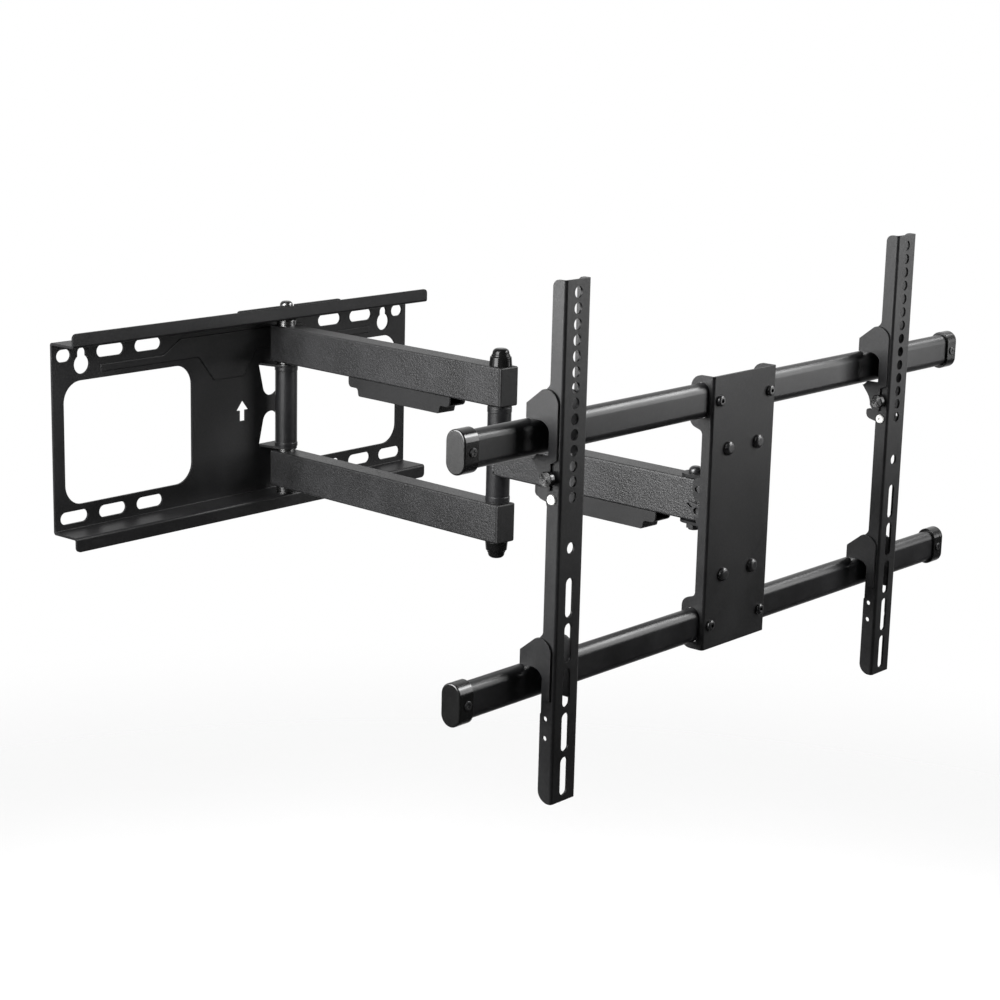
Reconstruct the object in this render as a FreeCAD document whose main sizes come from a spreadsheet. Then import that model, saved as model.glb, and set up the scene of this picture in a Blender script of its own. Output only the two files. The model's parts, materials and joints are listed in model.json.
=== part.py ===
import FreeCAD, Part
import math
import os
import Sketcher

# A full motion wall mount for a television: a wall plate, two arms that fold about vertical pivots,
# a head that swivels and tilts, two rails, and two slotted uprights that hook over the rails.
# Millimetres. X runs along the wall, +Y into the wall and +Z up. The origin is the middle of the
# wall plate's back face. The mount is drawn reaching straight out from the wall.

SIZES = [
    ("sheet_thick", 2.5),
    ("plate_width", 520.0),
    ("plate_height", 199.0),
    ("flange_depth", 36.8),
    ("lip_height", 12.5),
    ("window_inner", 73.5),
    ("window_outer", 246.0),
    ("window_top", 57.0),
    ("window_base", -72.0),
    ("window_round", 22.0),
    ("wall_slot_length", 36.0),
    ("wall_slot_width", 13.0),
    ("top_slot_height", 84.5),
    ("base_slot_height", -84.5),
    ("slot_inner", 134.0),
    ("slot_middle", 184.5),
    ("slot_outer", 235.0),
    ("short_slot_place", 245.0),
    ("short_slot_length", 18.5),
    ("keyhole_place", 222.0),
    ("keyhole_height", 73.5),
    ("keyhole_radius", 10.0),
    ("keyhole_neck", 5.5),
    ("keyhole_top", 91.0),
    ("panel_rise", 1.2),
    ("ear_height", 47.0),
    ("ear_reach", 39.0),
    ("ear_root_left", 24.7),
    ("ear_root_right", 60.5),
    ("ear_taper", 8.4),
    ("ear_round", 11.6),
    ("brace_width", 156.0),
    ("brace_rise", 1.3),
    ("pivot_across", 42.6),
    ("pivot_out", 27.0),
    ("bolt_radius", 5.0),
    ("run_gap", 0.05),
    ("sleeve_radius", 12.7),
    ("arm_width", 25.0),
    ("arm_height", 40.0),
    ("arm_wall", 2.0),
    ("arm_round", 2.0),
    ("arm_end", 13.0),
    ("arm_base", 50.0),
    ("arm_reach", 329.0),
    ("arm_turn", -3.66),
    ("forearm_reach", 251.5),
    ("forearm_turn", -2.53),
    ("plug_thick", 3.2),
    ("plug_depth", 1.5),
    ("bush_radius", 8.0),
    ("elbow_radius", 12.5),
    ("elbow_half", 48.4),
    ("cap_radius", 11.7),
    ("cap_height", 17.5),
    ("clip_width", 23.0),
    ("clip_depth", 19.0),
    ("clip_length", 153.6),
    ("clip_tab_depth", 10.6),
    ("clip_tab_length", 14.0),
    ("clip_wall", 2.0),
    ("upper_clip_start", 115.1),
    ("forearm_clip_start", 60.9),
    ("swivel_plate", 2.5),
    ("swivel_gap", 20.8),
    ("head_across", 17.0),
    ("head_drop", -3.5),
    ("tilt_out", 634.0),
    ("tilt_bolt_radius", 4.0),
    ("lug_half", 30.7),
    ("lug_radius", 11.0),
    ("guide_circle", 19.0),
    ("guide_radius", 2.5),
    ("face_front", 19.0),
    ("face_width", 100.0),
    ("face_height", 255.0),
    ("lobe_back", 6.0),
    ("lobe_length", 46.0),
    ("side_back", -8.3),
    ("head_bolt_across", 23.2),
    ("head_bolt_up", 59.2),
    ("rail_screw_across", 39.5),
    ("rail_height", 104.8),
    ("rail_behind", 6.0),
    ("rail_tall", 32.0),
    ("rail_deep", 16.0),
    ("rail_wall", 1.5),
    ("rail_length", 764.0),
    ("rail_shift", 3.0),
    ("cap_tall", 37.5),
    ("cap_deep", 20.5),
    ("cap_long", 17.0),
    ("cap_end", 3.0),
    ("cap_screw_in", 10.0),
    ("upright_width", 33.0),
    ("upright_depth", 13.5),
    ("upright_thick", 2.0),
    ("upright_top", 237.0),
    ("upright_base", -206.0),
    ("upright_front", 675.0),
    ("left_upright", -258.5),
    ("right_upright", 250.3),
    ("foot_depth", 14.4),
    ("foot_top", -127.0),
    ("shallow_depth", 8.0),
    ("shallow_top", 45.0),
    ("hole_radius", 4.9),
    ("hole_pitch", 13.0),
    ("first_hole", 226.5),
    ("tv_slot_length", 34.0),
    ("tv_slot_radius", 4.8),
    ("tv_slot_first", -28.0),
    ("tv_slot_pitch", 39.0),
    ("hook_thick", 2.5),
    ("hook_gap", 0.4),
    ("hook_front", 3.0),
    ("hook_strip", 8.0),
    ("lock_height", 75.0),
    ("lock_depth", 8.0),
    ("knob_radius", 6.3),
    ("bead_height", 56.7),
]

doc = FreeCAD.newDocument("TvWallMount")
sheet = doc.addObject("Spreadsheet::Sheet", "Sizes")
for row, (name, number) in enumerate(SIZES, start=1):
    sheet.set(f"A{row}", name)
    sheet.set(f"B{row}", str(number))
    sheet.setAlias(f"B{row}", name)
doc.recompute()

UP = FreeCAD.Vector(0, 0, 1)
NODES = []


def mm(name):
    """A driving dimension from the sheet."""
    return float(sheet.get(name))


# Where each moving stage stands: its place and its turn about the vertical, as sheet rules.
ELBOW_X = "(Sizes.pivot_across + Sizes.arm_reach * sin(Sizes.arm_turn * 1 deg))"
ELBOW_Y = "(-Sizes.pivot_out - Sizes.arm_reach * cos(Sizes.arm_turn * 1 deg))"
WRIST_X = f"({ELBOW_X} + Sizes.forearm_reach * sin(Sizes.forearm_turn * 1 deg))"
WRIST_Y = f"({ELBOW_Y} - Sizes.forearm_reach * cos(Sizes.forearm_turn * 1 deg))"
STAGES = {
    "wall": ("0", "0", "0", "0"),
    "pivot": ("Sizes.pivot_across", "-Sizes.pivot_out", "0", "0"),
    "arm": ("Sizes.pivot_across", "-Sizes.pivot_out", "0", "Sizes.arm_turn"),
    "elbow": (ELBOW_X, ELBOW_Y, "0", "Sizes.arm_turn"),
    "forearm": (ELBOW_X, ELBOW_Y, "0", "Sizes.forearm_turn"),
    "wrist": (WRIST_X, WRIST_Y, "0", "Sizes.forearm_turn"),
    "swivel": (WRIST_X, WRIST_Y, "0", "0"),
    "tilt": ("Sizes.head_across", "-Sizes.tilt_out", "Sizes.head_drop", "0"),
    "rails": ("Sizes.head_across + Sizes.rail_shift", "-Sizes.tilt_out", "Sizes.head_drop", "0"),
    "left": ("Sizes.left_upright", "-Sizes.upright_front", "Sizes.head_drop", "0"),
    "right": ("Sizes.right_upright", "-Sizes.upright_front", "Sizes.head_drop", "0"),
}


def new_body(label, stage):
    """An empty body that stands at a stage of the mount and is one of the part's nodes."""
    body = doc.addObject("PartDesign::Body", label)
    body.Label = label
    across, out, height, turn = STAGES[stage]
    body.setExpression("Placement.Base.x", across)
    body.setExpression("Placement.Base.y", out)
    body.setExpression("Placement.Base.z", height)
    body.Placement.Rotation = FreeCAD.Rotation(UP, 0.001)
    body.setExpression("Placement.Rotation.Angle", turn)
    NODES.append(body)
    doc.recompute()
    return body


def new_sketch(body, plane, offset="0"):
    """A sketch on one of the body's own planes, moved along that plane's normal."""
    sketch = body.newObject("Sketcher::SketchObject", "Outline")
    origin_plane = [item for item in body.Origin.OriginFeatures if item.Role == plane][0]
    sketch.AttachmentSupport = [(origin_plane, "")]
    sketch.MapMode = "FlatFace"
    sketch.setExpression("AttachmentOffset.Base.z", offset)
    return sketch


def outline(sketch, corners):
    """A closed outline. A corner is (across, up) or (across, up, radius)."""
    points = [FreeCAD.Vector(corner[0], corner[1], 0) for corner in corners]
    rounds = [corner[2] if len(corner) > 2 else 0 for corner in corners]
    starts, ends = [], []
    for place, (point, radius) in enumerate(zip(points, rounds)):
        back = points[place - 1] - point
        ahead = points[(place + 1) % len(points)] - point
        back.normalize()
        ahead.normalize()
        half = back.getAngle(ahead) / 2
        reach = radius / math.tan(half) if radius else 0
        starts.append(point + back * reach)
        ends.append(point + ahead * reach)
        if radius:
            bisector = back + ahead
            bisector.normalize()
            middle = point + bisector * (radius / math.sin(half) - radius)
            sketch.addGeometry(Part.Arc(starts[-1], middle, ends[-1]), False)
    for place, end in enumerate(ends):
        start = starts[(place + 1) % len(points)]
        if end.distanceToPoint(start) > 1e-4:
            sketch.addGeometry(Part.LineSegment(end, start), False)


def ring(sketch, across, up, radius, rule=None):
    """A circle, whose radius follows a sheet rule when one is given."""
    centre = FreeCAD.Vector(across, up, 0)
    number = sketch.addGeometry(Part.Circle(centre, UP, radius), False)
    if rule:
        held = sketch.addConstraint(Sketcher.Constraint("Radius", number, radius))
        sketch.setExpression(f"Constraints[{held}]", rule)


def slot(sketch, across, up, length, width, upright=False):
    """A slot with round ends, lying along the sketch's first axis or standing up."""
    half_long, half_wide = length / 2, width / 2
    if upright:
        half_long, half_wide = half_wide, half_long
    rounded = min(half_long, half_wide)
    outline(sketch, [
        (across - half_long, up - half_wide, rounded),
        (across + half_long, up - half_wide, rounded),
        (across + half_long, up + half_wide, rounded),
        (across - half_long, up + half_wide, rounded),
    ])


def box_outline(sketch, left, base, right, top, radius=0):
    """A rectangle, with round corners when a radius is given."""
    outline(sketch, [
        (left, base, radius),
        (right, base, radius),
        (right, top, radius),
        (left, top, radius),
    ])


def pad(body, sketch, length, symmetric=False, back=False):
    """Adds the sketch's outline, made solid over a length."""
    feature = body.newObject("PartDesign::Pad", "Pad")
    feature.Profile = sketch
    feature.setExpression("Length", length)
    feature.SideType = "Symmetric" if symmetric else "One side"
    feature.Reversed = back
    sketch.Visibility = False
    doc.recompute()
    return feature


def pocket(body, sketch, length, symmetric=True, back=False):
    """Cuts the sketch's outline over a length, and makes sure that it took something away."""
    before = body.Shape.Volume
    feature = body.newObject("PartDesign::Pocket", "Pocket")
    feature.Profile = sketch
    feature.setExpression("Length", length)
    feature.SideType = "Symmetric" if symmetric else "One side"
    feature.Reversed = back
    sketch.Visibility = False
    doc.recompute()
    if body.Shape.Volume > before - 0.01:
        raise ValueError(f"{body.Label}: {feature.Name} cut nothing")
    return feature


def turned(label, stage, rings):
    """One or more turned pieces about the stage's vertical axis: each a list of (radius, height)."""
    body = new_body(label, stage)
    sketch = new_sketch(body, "XZ_Plane")
    for corners in rings:
        outline(sketch, corners)
    feature = body.newObject("PartDesign::Revolution", "Turn")
    feature.Profile = sketch
    feature.ReferenceAxis = (sketch, ["V_Axis"])
    feature.Angle = 360
    sketch.Visibility = False
    doc.recompute()
    return body


def soften(body, radius, chosen, bevel=False):
    """Rounds, or bevels, the edges that a test picks by their middle and direction."""
    names = []
    base = body.Tip
    for number, edge in enumerate(base.Shape.Edges, start=1):
        middle = edge.valueAt((edge.FirstParameter + edge.LastParameter) / 2)
        along = edge.tangentAt((edge.FirstParameter + edge.LastParameter) / 2)
        if chosen(edge, middle, along):
            names.append(f"Edge{number}")
    if not names:
        raise ValueError(f"{body.Label}: no edge to soften")
    kind = "Chamfer" if bevel else "Fillet"
    feature = body.newObject(f"PartDesign::{kind}", kind)
    feature.Base = (base, names)
    if bevel:
        feature.Size = radius
    else:
        feature.Radius = radius
    doc.recompute()
    return feature


# ---------------------------------------------------------------- the wall side


def cut_wall_openings(sketch):
    """The windows, slots, keyholes and arrow in the wall plate's web."""
    for side in (-1, 1):
        ends = sorted((side * mm("window_inner"), side * mm("window_outer")))
        base, top = mm("window_base"), mm("window_top")
        box_outline(sketch, ends[0], base, ends[1], top, mm("window_round"))
        for place in (mm("slot_inner"), mm("slot_middle")):
            slot(sketch, side * place, mm("top_slot_height"), mm("wall_slot_length"), mm("wall_slot_width"))
        for place in (mm("slot_inner"), mm("slot_middle"), mm("slot_outer")):
            slot(sketch, side * place, mm("base_slot_height"), mm("wall_slot_length"), mm("wall_slot_width"))
        short = side * mm("short_slot_place")
        slot(sketch, short, mm("top_slot_height"), mm("short_slot_length"), mm("wall_slot_width"))
    # the arrow that shows which way is up
    outline(sketch, [
        (-4, -15), (4.4, -15), (4.4, -3), (9.6, -3), (0.2, 8.6), (-9.2, -3), (-4, -3),
    ])


def keyhole(sketch, across):
    """A round hole with a narrower neck above it."""
    radius, neck = mm("keyhole_radius"), mm("keyhole_neck")
    centre, top = mm("keyhole_height"), mm("keyhole_top")
    rise = math.sqrt(radius ** 2 - neck ** 2)
    low_left = FreeCAD.Vector(across - neck, centre + rise, 0)
    low_right = FreeCAD.Vector(across + neck, centre + rise, 0)
    high_left = FreeCAD.Vector(across - neck, top - neck, 0)
    high_right = FreeCAD.Vector(across + neck, top - neck, 0)
    base = FreeCAD.Vector(across, centre - radius, 0)
    crown = FreeCAD.Vector(across, top, 0)
    sketch.addGeometry(Part.Arc(low_left, base, low_right), False)
    sketch.addGeometry(Part.LineSegment(low_right, high_right), False)
    sketch.addGeometry(Part.Arc(high_right, crown, high_left), False)
    sketch.addGeometry(Part.LineSegment(high_left, low_left), False)


def ear_outline(sketch, root, tip):
    """The tapered tongue that is cut from the web and bent out to hold a pivot."""
    left, right, taper = mm("ear_root_left"), mm("ear_root_right"), mm("ear_taper")
    rounded = mm("ear_round")
    outline(sketch, [(left, root), (left + taper, tip, rounded), (right - taper, tip, rounded), (right, root)])


def wall_plate():
    """The pressed steel plate that is screwed to the wall: a web, two flanges and two lips."""
    body = new_body("wall_plate", "wall")
    thick, depth = mm("sheet_thick"), mm("flange_depth")
    high = mm("plate_height") / 2
    top = high + mm("lip_height")
    section = new_sketch(body, "YZ_Plane")
    half = [
        (0, high, 3), (thick - depth, high, 1), (thick - depth, top), (-depth, top),
        (-depth, high - thick, 3), (-thick, high - thick, 1),
    ]
    lower = [(corner[0], -corner[1], *corner[2:]) for corner in reversed(half)]
    outline(section, half + lower)
    pad(body, section, "Sizes.plate_width", symmetric=True)
    soften(body, 5, lambda edge, middle, along: abs(along.y) > 0.9 and abs(middle.z) > top - 0.5)
    web = new_sketch(body, "XZ_Plane")
    cut_wall_openings(web)
    for side in (-1, 1):
        keyhole(web, side * mm("keyhole_place"))
        ear_outline(web, side * (mm("ear_height") - thick), side * (mm("ear_height") + 1 - mm("ear_reach")))
    pocket(body, web, "8")
    for side, name in ((-1, "-Sizes.ear_height"), (1, "Sizes.ear_height")):
        ear = new_sketch(body, "XY_Plane", name)
        ear_outline(ear, -0.5, -mm("ear_reach"))
        pad(body, ear, "Sizes.sheet_thick", back=side > 0)
    pins = new_sketch(body, "XY_Plane")
    ring(pins, mm("pivot_across"), -mm("pivot_out"), mm("bolt_radius") + 0.3, "Sizes.bolt_radius + 0.3")
    pocket(body, pins, "2 * Sizes.plate_height")
    panel = new_sketch(body, "XZ_Plane", "Sizes.sheet_thick - 0.2")
    outline(panel, [
        (-198, 63), (-64, 63, 6), (-42, 35, 4), (1, 35, 4), (19, 63, 6), (198, 63), (198, 71), (114, 71, 4),
        (90, 86, 4), (-90, 86, 4), (-114, 71, 4), (-198, 71),
    ])
    pad(body, panel, "Sizes.panel_rise + 0.2")
    rise = -thick - mm("panel_rise")
    soften(body, 1, lambda edge, middle, along: abs(middle.y - rise) < 0.01)


def pivot_brace(label, side):
    """A folded plate that doubles the flange around the wall pivot."""
    body = new_body(label, "wall")
    thick, depth = mm("sheet_thick"), mm("flange_depth")
    base = mm("plate_height") / 2
    rise = mm("lip_height") + (mm("brace_rise") if side > 0 else -2)
    section = new_sketch(body, "YZ_Plane", "Sizes.pivot_across")
    corners = [
        (-2.5, base), (-2.5, base + thick), (2 * thick - depth + 0.2, base + thick, 0.8),
        (2 * thick - depth + 0.2, base + rise), (thick - depth + 0.2, base + rise),
        (thick - depth + 0.2, base, 2.4),
    ]
    outline(section, [(corner[0], side * corner[1], *corner[2:]) for corner in corners])
    pad(body, section, "Sizes.brace_width", symmetric=True)
    soften(body, 4, lambda edge, middle, along: abs(along.y) > 0.9 and abs(middle.z) > base + rise - 0.3)
    pins = new_sketch(body, "XY_Plane")
    ring(pins, mm("pivot_across"), -mm("pivot_out"), mm("bolt_radius") + 0.3, "Sizes.bolt_radius + 0.3")
    pocket(body, pins, "2 * Sizes.plate_height")
    relief = new_sketch(body, "XY_Plane", str(side * (base + thick)))
    ring(relief, mm("pivot_across"), -mm("pivot_out"), 8.2)
    pocket(body, relief, "Sizes.lip_height + 4", symmetric=False, back=side > 0)


def wall_pivot_bolt():
    """The long bolt through both flanges, both ears and both arm tubes: a tall domed head on top and a
    thinner threaded end below."""
    radius, thread = mm("bolt_radius"), mm("bolt_radius") - 1
    seat = mm("plate_height") / 2 + mm("sheet_thick")
    turned("wall_pivot_bolt", "pivot", [[
        (0, -seat - 10), (thread, -seat - 10, 0.8), (thread, -seat), (radius, -seat), (radius, seat),
        (7.1, seat), (7.1, seat + 15, 4.6), (0, seat + 15),
    ]])


def hexagon(sketch, across, up, flat, hole, lean=30):
    """A six-sided nut's outline, flat to flat, with its hole."""
    radius = flat / math.sqrt(3)
    turns = [math.radians(60 * step + lean) for step in range(6)]
    outline(sketch, [(across + radius * math.cos(turn), up + radius * math.sin(turn)) for turn in turns])
    ring(sketch, across, up, hole)


def wall_pivot_nut():
    """The nut below the lower flange."""
    body = new_body("wall_pivot_nut", "pivot")
    flats = new_sketch(body, "XY_Plane", "-Sizes.plate_height / 2 - Sizes.sheet_thick")
    hexagon(flats, 0, 0, 13, mm("bolt_radius") - 1, lean=0)
    pad(body, flats, "7", back=True)


def wall_pivot_sleeve():
    """The round spacer between the two ears, with a turned collar at each end."""
    high = mm("ear_height") - mm("sheet_thick")
    radius, bore = mm("sleeve_radius"), mm("bolt_radius") + 0.3
    turned("wall_pivot_sleeve", "pivot", [[
        (bore, -high), (radius, -high), (radius, 4 - high, 0.4), (radius - 0.5, 4.4 - high, 0.4),
        (radius - 0.5, high - 4.4, 0.4), (radius, high - 4, 0.4), (radius, high), (bore, high),
    ]])


def wall_pivot_shims():
    """Thin steel washers between the ears and the arm bushes, and under the flanges."""
    ear, flange = mm("ear_height"), mm("plate_height") / 2 - mm("sheet_thick")
    bore = mm("bolt_radius") + 0.3
    rings = []
    for side in (-1, 1):
        rings.append([
            (bore, side * ear), (11.5, side * ear), (11.5, side * (ear + 0.8)), (bore, side * (ear + 0.8)),
        ])
        rings.append([
            (bore, side * flange), (11.5, side * flange), (11.5, side * (flange - 0.8)),
            (bore, side * (flange - 0.8)),
        ])
    turned("wall_pivot_shims", "pivot", rings)


# ---------------------------------------------------------------- the arms


def arm_tube(label, stage, base, start, length, holes):
    """A straight box tube along -Y, with a vertical hole through it at each (place, radius)."""
    body = new_body(label, stage)
    half, tall = mm("arm_width") / 2, mm("arm_height")
    wall, rounded = mm("arm_wall"), mm("arm_round")
    section = new_sketch(body, "XZ_Plane", start)
    box_outline(section, -half, base, half, base + tall, rounded)
    box_outline(section, wall - half, base + wall, half - wall, base + tall - wall, rounded - wall)
    pad(body, section, length)
    for place, radius in holes:
        hole = new_sketch(body, "XY_Plane", str(base + tall / 2))
        ring(hole, 0, place, radius)
        pocket(body, hole, "2 * Sizes.arm_height")
    return body


def main_arm_tube(label, base):
    """One of the pair of tubes between the wall pivot and the elbow."""
    holes = [(0, mm("bush_radius") + 0.1), (-mm("arm_reach"), mm("bolt_radius") + 0.2)]
    return arm_tube(
        label, "arm", base, "Sizes.plug_thick - Sizes.arm_end",
        "Sizes.arm_reach + 2 * Sizes.arm_end - 2 * Sizes.plug_thick", holes,
    )


def end_plugs(label, stage, bases, outward):
    """Plastic plugs that close the ends of the tubes, each with a short neck inside its tube."""
    body = new_body(label, stage)
    half, tall, wall = mm("arm_width") / 2, mm("arm_height"), mm("arm_wall") + 0.2
    face = "Sizes.arm_end" if outward > 0 else "-Sizes.arm_end"
    covers = new_sketch(body, "XZ_Plane", face)
    for base in bases:
        box_outline(covers, -half, base, half, base + tall, mm("arm_round"))
    pad(body, covers, "Sizes.plug_thick", back=outward > 0)
    soften(body, 1.7, lambda edge, middle, along: abs(abs(middle.y) - mm("arm_end")) < 0.01)
    inner = "Sizes.arm_end - Sizes.plug_thick" if outward > 0 else "Sizes.plug_thick - Sizes.arm_end"
    necks = new_sketch(body, "XZ_Plane", inner)
    for base in bases:
        box_outline(necks, wall - half, base + wall, half - wall, base + tall - wall, 0.6)
    pad(body, necks, "Sizes.plug_depth", back=outward > 0)


def arm_bushes():
    """Plastic bushes in the wall ends of both tubes, with the spacer flanges that show above and below."""
    bore, radius = mm("bolt_radius") + mm("run_gap"), mm("bush_radius")
    base, top = mm("arm_base"), mm("arm_base") + mm("arm_height")
    inner, outer = mm("ear_height") + 1.0, mm("plate_height") / 2 - mm("sheet_thick") - 1.0
    rings = []
    for side in (-1, 1):
        corners = [
            (bore, inner), (10.5, inner, 0.5), (10.5, base), (radius, base), (radius, top),
            (10.5, top), (10.5, outer, 0.8), (bore, outer),
        ]
        rings.append([(corner[0], side * corner[1], *corner[2:]) for corner in corners])
    turned("arm_bushes", "arm", rings)


def elbow_bolt():
    """The bolt through both tubes and the elbow tube."""
    radius = mm("bolt_radius")
    seat = mm("arm_base") + mm("arm_height")
    turned("elbow_bolt", "elbow", [[
        (0, -seat - 7), (radius, -seat - 7, 0.8), (radius, seat), (8, seat), (8, seat + 5.5, 1.5),
        (0, seat + 5.5),
    ]])


def elbow_nut():
    """The nut under the lower tube, hidden by its cap."""
    body = new_body("elbow_nut", "elbow")
    flats = new_sketch(body, "XY_Plane", "-Sizes.arm_base - Sizes.arm_height")
    hexagon(flats, 0, 0, 15, mm("bolt_radius"))
    pad(body, flats, "6", back=True)


def elbow_caps():
    """Glossy domed covers over the bolt's head and nut."""
    seat = mm("arm_base") + mm("arm_height")
    radius, tall = mm("cap_radius"), mm("cap_height")
    rings = []
    for side in (-1, 1):
        corners = [
            (9, seat), (radius, seat, 0.5), (radius - 0.9, seat + 9, 0.8), (radius - 2.1, seat + 10, 0.3),
            (radius - 2.4, seat + 11.5, 0.5), (radius - 3.1, seat + 12, 0.2), (radius - 3.5, seat + tall, 4.6),
            (0, seat + tall), (0, seat + 8), (9, seat + 8),
        ]
        rings.append([(corner[0], side * corner[1], *corner[2:]) for corner in corners])
    turned("elbow_caps", "elbow", rings)


def elbow_tube():
    """The round tube that turns on the elbow bolt and carries the forearm."""
    high, radius = mm("elbow_half"), mm("elbow_radius")
    turned("elbow_tube", "forearm", [[
        (radius - 3, -high), (radius, -high, 0.6), (radius, 5 - high, 0.3), (radius - 0.4, 5.4 - high, 0.3),
        (radius - 0.4, high - 5.4, 0.3), (radius, high - 5, 0.3), (radius, high, 0.6), (radius - 3, high),
    ]])


def elbow_bushes():
    """Flanged bushes pressed into each end of the elbow tube."""
    bore, high = mm("bolt_radius") + mm("run_gap"), mm("elbow_half")
    radius = mm("elbow_radius")
    rings = []
    for side in (-1, 1):
        corners = [
            (bore, high - 14), (radius - 3.1, high - 14), (radius - 3.1, high), (radius - 0.3, high),
            (radius - 0.3, high + 1.3, 0.4), (bore, high + 1.3),
        ]
        rings.append([(corner[0], side * corner[1], *corner[2:]) for corner in corners])
    turned("elbow_bushes", "forearm", rings)


def forearm_tube():
    """The single tube between the elbow tube and the head, shaped to the elbow tube where it is welded."""
    base = -mm("arm_height") / 2
    holes = [(0, mm("elbow_radius") + 0.02), (-mm("forearm_reach"), mm("bush_radius") + 0.1)]
    arm_tube(
        "forearm_tube", "forearm", base, "6",
        "Sizes.forearm_reach + Sizes.arm_end - Sizes.plug_thick - 6", holes,
    )


def wrist_bush():
    """The bush in the head end of the forearm."""
    bore, half = mm("bolt_radius") + mm("run_gap"), mm("arm_height") / 2
    radius, top = mm("bush_radius"), mm("swivel_gap") - 0.3
    turned("wrist_bush", "wrist", [[
        (bore, -top), (11, -top, 0.4), (11, -half), (radius, -half), (radius, half), (11, half),
        (11, top, 0.4), (bore, top),
    ]])


def cable_clip(label, stage, base, start):
    """An open-ended tray under an arm, deep in the middle and stepped up at both ends, for the cables."""
    body = new_body(label, stage)
    length, deep = mm("clip_length"), mm("clip_depth")
    tab, shallow, wall = mm("clip_tab_length"), mm("clip_tab_depth"), mm("clip_wall")
    side = new_sketch(body, "YZ_Plane")
    near, far = -start, -start - length
    outline(side, [
        (near, base), (near, base - shallow, 5), (near - tab, base - shallow, 3), (near - tab - 2, base - deep, 2),
        (far + tab + 2, base - deep, 2), (far + tab, base - shallow, 3), (far, base - shallow, 5), (far, base),
    ])
    pad(body, side, "Sizes.clip_width", symmetric=True)
    hollow = new_sketch(body, "YZ_Plane")
    outline(hollow, [
        (near + 1, base + 1), (near + 1, base - shallow + wall), (near - tab - 2, base - shallow + wall, 1),
        (near - tab - 4, base - deep + wall, 1), (far + tab + 4, base - deep + wall, 1),
        (far + tab + 2, base - shallow + wall, 1), (far - 1, base - shallow + wall), (far - 1, base + 1),
    ])
    pocket(body, hollow, "Sizes.clip_width - 2 * Sizes.clip_wall")


# ---------------------------------------------------------------- the head


def swivel_bracket():
    """The yoke that turns on the forearm: two plates on the swivel bolt, a web, and two side lugs."""
    body = new_body("swivel_bracket", "swivel")
    gap, thick = mm("swivel_gap"), mm("swivel_plate")
    centre = mm("head_across") - body.Placement.Base.x
    axis = -mm("tilt_out") - body.Placement.Base.y
    web_back = axis + 7.4
    half = mm("lug_half")
    for side, offset in ((1, "Sizes.swivel_gap"), (-1, "-Sizes.swivel_gap")):
        plate = new_sketch(body, "XY_Plane", offset)
        outline(plate, [(-12, 12, 11.9), (12, 12, 11.9), (16, web_back - 1), (-16, web_back - 1)])
        pad(body, plate, "Sizes.swivel_plate", back=side < 0)
    web = new_sketch(body, "XZ_Plane", str(-web_back))
    box_outline(web, centre - half, -gap - thick, centre + half, gap + thick, 3)
    pad(body, web, "Sizes.swivel_plate")
    drop, round_end = mm("head_drop"), mm("lug_radius")
    for side in (-1, 1):
        offset = centre + side * half
        lug = new_sketch(body, "YZ_Plane", str(offset))
        outline(lug, [
            (web_back, gap + thick, 3), (axis - 5, gap + thick, 4), (axis - 5, drop + 10, 2),
            (axis - round_end, drop + 8, 6), (axis - round_end, drop - round_end, round_end - 0.1),
            (web_back, drop - round_end - 3),
        ])
        pad(body, lug, "Sizes.swivel_plate", back=side > 0)
    bolt = new_sketch(body, "XY_Plane")
    ring(bolt, 0, 0, mm("bolt_radius") + 0.3, "Sizes.bolt_radius + 0.3")
    pocket(body, bolt, "4 * Sizes.swivel_gap")
    pins = new_sketch(body, "YZ_Plane", str(centre))
    ring(pins, axis, drop, mm("tilt_bolt_radius") + mm("run_gap"), "Sizes.tilt_bolt_radius + Sizes.run_gap")
    ring(pins, axis, drop + mm("guide_circle"), mm("guide_radius") + 0.2)
    pocket(body, pins, "3 * Sizes.lug_half")


def swivel_bolt():
    """The vertical bolt at the head, with a domed head on top."""
    radius, seat = mm("bolt_radius"), mm("swivel_gap") + mm("swivel_plate")
    turned("swivel_bolt", "swivel", [[
        (0, -seat - 8), (radius, -seat - 8, 0.8), (radius, seat), (6.6, seat), (6.6, seat + 6, 4.6),
        (0, seat + 6),
    ]])


def swivel_nut():
    """The lock nut below the yoke."""
    body = new_body("swivel_nut", "swivel")
    flats = new_sketch(body, "XY_Plane", "-Sizes.swivel_gap - Sizes.swivel_plate")
    hexagon(flats, 0, 0, 13, mm("bolt_radius"))
    pad(body, flats, "6", back=True)


def guide_screws():
    """Two small screws in the lugs that ride in the tilt bracket's curved slots."""
    body = new_body("guide_screws", "tilt")
    up, half = mm("guide_circle"), mm("lug_half")
    for side in (-1, 1):
        inner = new_sketch(body, "YZ_Plane", str(side * (half - 5)))
        ring(inner, 0, up, mm("guide_radius"))
        pad(body, inner, "10.2", back=side < 0)
        head = new_sketch(body, "YZ_Plane", str(side * (half + 3.8)))
        ring(head, 0, up, 4.6)
        pad(body, head, "2.6", back=side < 0)
    edge_place = half + 3.8 + 2.6
    soften(body, 1.2, lambda edge, middle, along: abs(abs(middle.x) - edge_place) < 0.01)


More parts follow.
